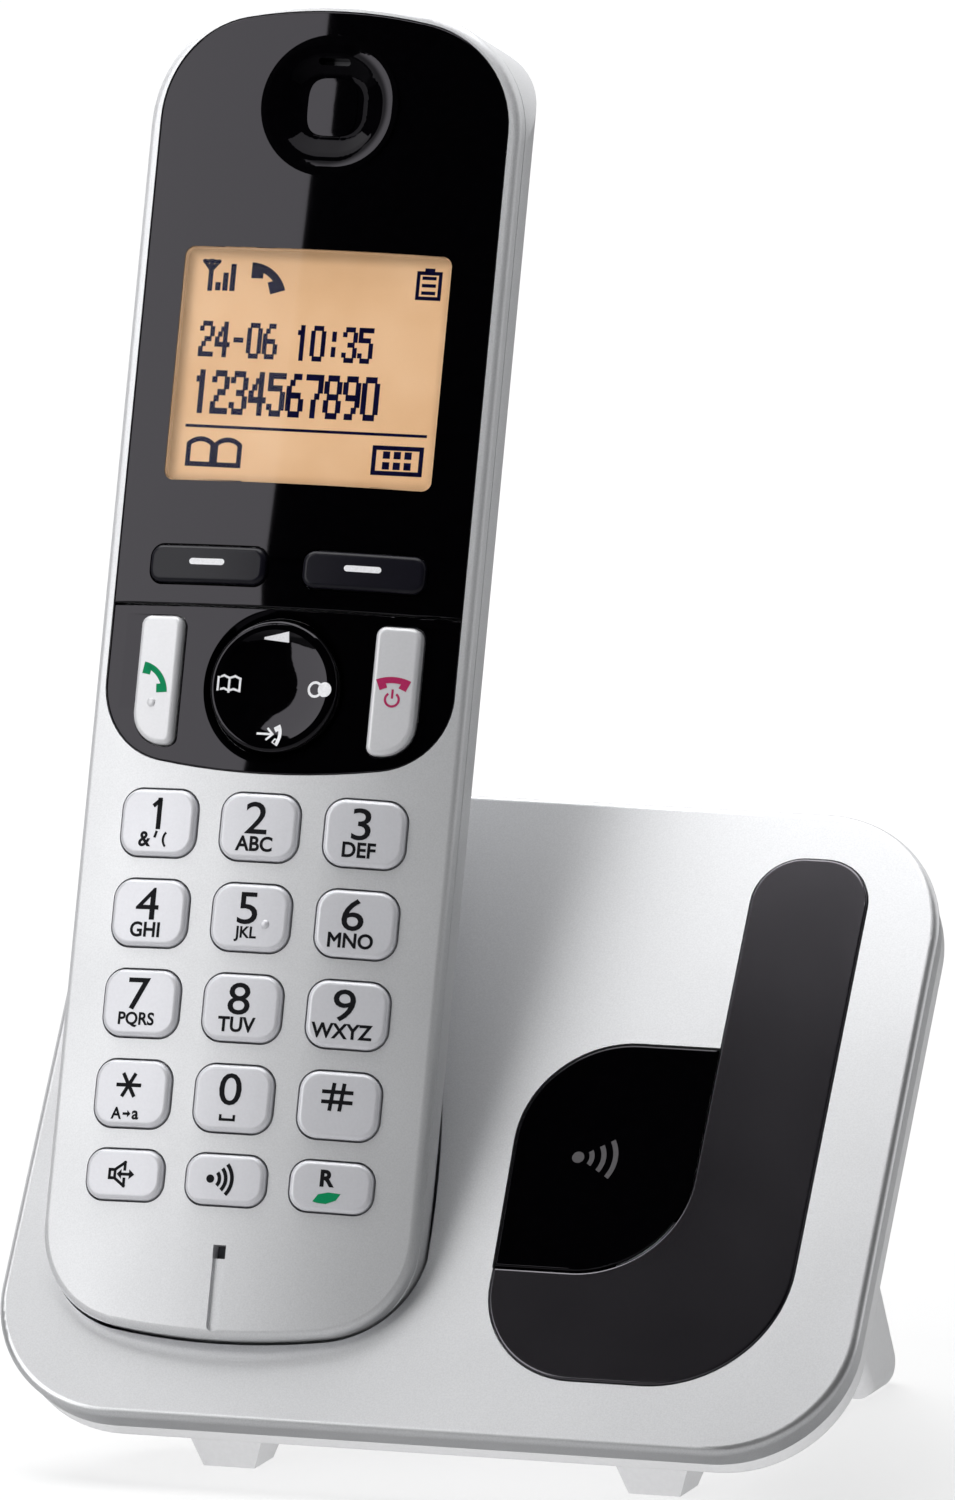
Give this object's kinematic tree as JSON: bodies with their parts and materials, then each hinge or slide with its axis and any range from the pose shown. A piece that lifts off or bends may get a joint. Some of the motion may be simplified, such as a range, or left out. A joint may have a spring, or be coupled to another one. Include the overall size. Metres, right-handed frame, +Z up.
{
  "type": "cordless phone with base",
  "caption": "Slim cordless phone handset with display, keypad and round navigator, standing in a tilted silver charging base with a hooked dark accent and a handset locator key.",
  "frame": {"origin": "on the floor under the middle of the base", "axes": "+Z up, front faces -Y, +X to the right seen from the front"},
  "size_m": [0.1068, 0.0879, 0.1717],
  "materials": {
    "silver_plastic": "satin silver paint",
    "white_plastic": "semi-gloss moulded",
    "gloss_black": "high gloss",
    "accent_dark": "satin",
    "key_plastic": "satin",
    "dark_key": "gloss",
    "clear_window": "clear gloss",
    "display": "backlit amber",
    "key_rubber": "matt",
    "circuit_board": "solder mask",
    "speaker_metal": "satin",
    "cell_sleeve": "printed sleeve",
    "contact_metal": "plated",
    "screw_steel": "plated",
    "socket_black": "matt",
    "post_plastic": "matt"
  },
  "bodies": {
    "base": {"base_front_cover": "silver_plastic", "base_rear_housing": "white_plastic", "accent_panel": "accent_dark", "base_circuit_board": "circuit_board", "connector_board": "circuit_board", "base_charge_contacts": "contact_metal", "dc_jack": "socket_black", "line_socket": "socket_black", "base_screws": "screw_steel"},
    "locator": {"locator_key": "gloss_black"},
    "handset": {"handset_front_shell": "silver_plastic", "handset_rear_shell": "silver_plastic", "display_panel": "gloss_black", "control_panel": "gloss_black", "display_lens": "clear_window", "lcd_module": "display", "keypad_mat": "key_rubber", "handset_circuit_board": "circuit_board", "earpiece_speaker": "speaker_metal", "microphone": "speaker_metal", "ringer_speaker": "speaker_metal", "battery_cells": "cell_sleeve", "battery_contacts": "contact_metal", "handset_charge_contacts": "contact_metal", "handset_screws": "screw_steel"},
    "battery_door": {"battery_cover": "silver_plastic"},
    "navigator_pivot": {"navigator_post": "post_plastic"},
    "navigator": {"navigator_key": "gloss_black"},
    "key_1": {"key_1": "key_plastic"},
    "key_2": {"key_2": "key_plastic"},
    "key_3": {"key_3": "key_plastic"},
    "key_4": {"key_4": "key_plastic"},
    "key_5": {"key_5": "key_plastic"},
    "key_6": {"key_6": "key_plastic"},
    "key_7": {"key_7": "key_plastic"},
    "key_8": {"key_8": "key_plastic"},
    "key_9": {"key_9": "key_plastic"},
    "key_star": {"key_star": "key_plastic"},
    "key_0": {"key_0": "key_plastic"},
    "key_hash": {"key_hash": "key_plastic"},
    "key_speaker": {"key_speaker": "key_plastic"},
    "key_intercom": {"key_intercom": "key_plastic"},
    "key_recall": {"key_recall": "key_plastic"},
    "soft_key_left": {"soft_key_left": "dark_key"},
    "soft_key_right": {"soft_key_right": "dark_key"},
    "talk_key": {"talk_key": "key_plastic"},
    "off_key": {"off_key": "key_plastic"}
  },
  "joints": [
    {"name": "handset_lift", "type": "slide", "parent": "base", "child": "handset", "axis": [0, 0.3024, 0.9532], "range_m": [0, 0.07]},
    {"name": "locator_press", "type": "slide", "parent": "base", "child": "locator", "axis": [0, 0.8007, -0.599], "range_m": [0, 0.0006], "stiffness_N_per_m": 1500},
    {"name": "battery_cover_slide", "type": "slide", "parent": "handset", "child": "battery_door", "axis": [0, -0.3024, -0.9532], "range_m": [0, 0.008]},
    {"name": "navigator_tilt_sideways", "type": "hinge", "parent": "handset", "child": "navigator_pivot", "pos_m": [-0.02477, -0.01411, 0.09162], "axis": [0, 0.3024, 0.9532], "range_deg": [-3, 3], "stiffness_Nm_per_rad": 0.6},
    {"name": "navigator_tilt_updown", "type": "hinge", "parent": "navigator_pivot", "child": "navigator", "pos_m": [-0.02477, -0.01411, 0.09162], "axis": [1, 0, 0], "range_deg": [-3, 3], "stiffness_Nm_per_rad": 0.6},
    {"name": "key_1_press", "type": "slide", "parent": "handset", "child": "key_1", "axis": [0, 0.9532, -0.3024], "range_m": [0, 0.0005], "stiffness_N_per_m": 1500},
    {"name": "key_2_press", "type": "slide", "parent": "handset", "child": "key_2", "axis": [0, 0.9532, -0.3024], "range_m": [0, 0.0005], "stiffness_N_per_m": 1500},
    {"name": "key_3_press", "type": "slide", "parent": "handset", "child": "key_3", "axis": [0, 0.9532, -0.3024], "range_m": [0, 0.0005], "stiffness_N_per_m": 1500},
    {"name": "key_4_press", "type": "slide", "parent": "handset", "child": "key_4", "axis": [0, 0.9532, -0.3024], "range_m": [0, 0.0005], "stiffness_N_per_m": 1500},
    {"name": "key_5_press", "type": "slide", "parent": "handset", "child": "key_5", "axis": [0, 0.9532, -0.3024], "range_m": [0, 0.0005], "stiffness_N_per_m": 1500},
    {"name": "key_6_press", "type": "slide", "parent": "handset", "child": "key_6", "axis": [0, 0.9532, -0.3024], "range_m": [0, 0.0005], "stiffness_N_per_m": 1500},
    {"name": "key_7_press", "type": "slide", "parent": "handset", "child": "key_7", "axis": [0, 0.9532, -0.3024], "range_m": [0, 0.0005], "stiffness_N_per_m": 1500},
    {"name": "key_8_press", "type": "slide", "parent": "handset", "child": "key_8", "axis": [0, 0.9532, -0.3024], "range_m": [0, 0.0005], "stiffness_N_per_m": 1500},
    {"name": "key_9_press", "type": "slide", "parent": "handset", "child": "key_9", "axis": [0, 0.9532, -0.3024], "range_m": [0, 0.0005], "stiffness_N_per_m": 1500},
    {"name": "key_star_press", "type": "slide", "parent": "handset", "child": "key_star", "axis": [0, 0.9532, -0.3024], "range_m": [0, 0.0005], "stiffness_N_per_m": 1500},
    {"name": "key_0_press", "type": "slide", "parent": "handset", "child": "key_0", "axis": [0, 0.9532, -0.3024], "range_m": [0, 0.0005], "stiffness_N_per_m": 1500},
    {"name": "key_hash_press", "type": "slide", "parent": "handset", "child": "key_hash", "axis": [0, 0.9532, -0.3024], "range_m": [0, 0.0005], "stiffness_N_per_m": 1500},
    {"name": "key_speaker_press", "type": "slide", "parent": "handset", "child": "key_speaker", "axis": [0, 0.9532, -0.3024], "range_m": [0, 0.0005], "stiffness_N_per_m": 1500},
    {"name": "key_intercom_press", "type": "slide", "parent": "handset", "child": "key_intercom", "axis": [0, 0.9532, -0.3024], "range_m": [0, 0.0005], "stiffness_N_per_m": 1500},
    {"name": "key_recall_press", "type": "slide", "parent": "handset", "child": "key_recall", "axis": [0, 0.9532, -0.3024], "range_m": [0, 0.0005], "stiffness_N_per_m": 1500},
    {"name": "soft_key_left_press", "type": "slide", "parent": "handset", "child": "soft_key_left", "axis": [0, 0.9532, -0.3024], "range_m": [0, 0.0005], "stiffness_N_per_m": 1500},
    {"name": "soft_key_right_press", "type": "slide", "parent": "handset", "child": "soft_key_right", "axis": [0, 0.9532, -0.3024], "range_m": [0, 0.0005], "stiffness_N_per_m": 1500},
    {"name": "talk_key_press", "type": "slide", "parent": "handset", "child": "talk_key", "axis": [0, 0.9532, -0.3024], "range_m": [0, 0.0005], "stiffness_N_per_m": 1500},
    {"name": "off_key_press", "type": "slide", "parent": "handset", "child": "off_key", "axis": [0, 0.9532, -0.3024], "range_m": [0, 0.0005], "stiffness_N_per_m": 1500}
  ]
}
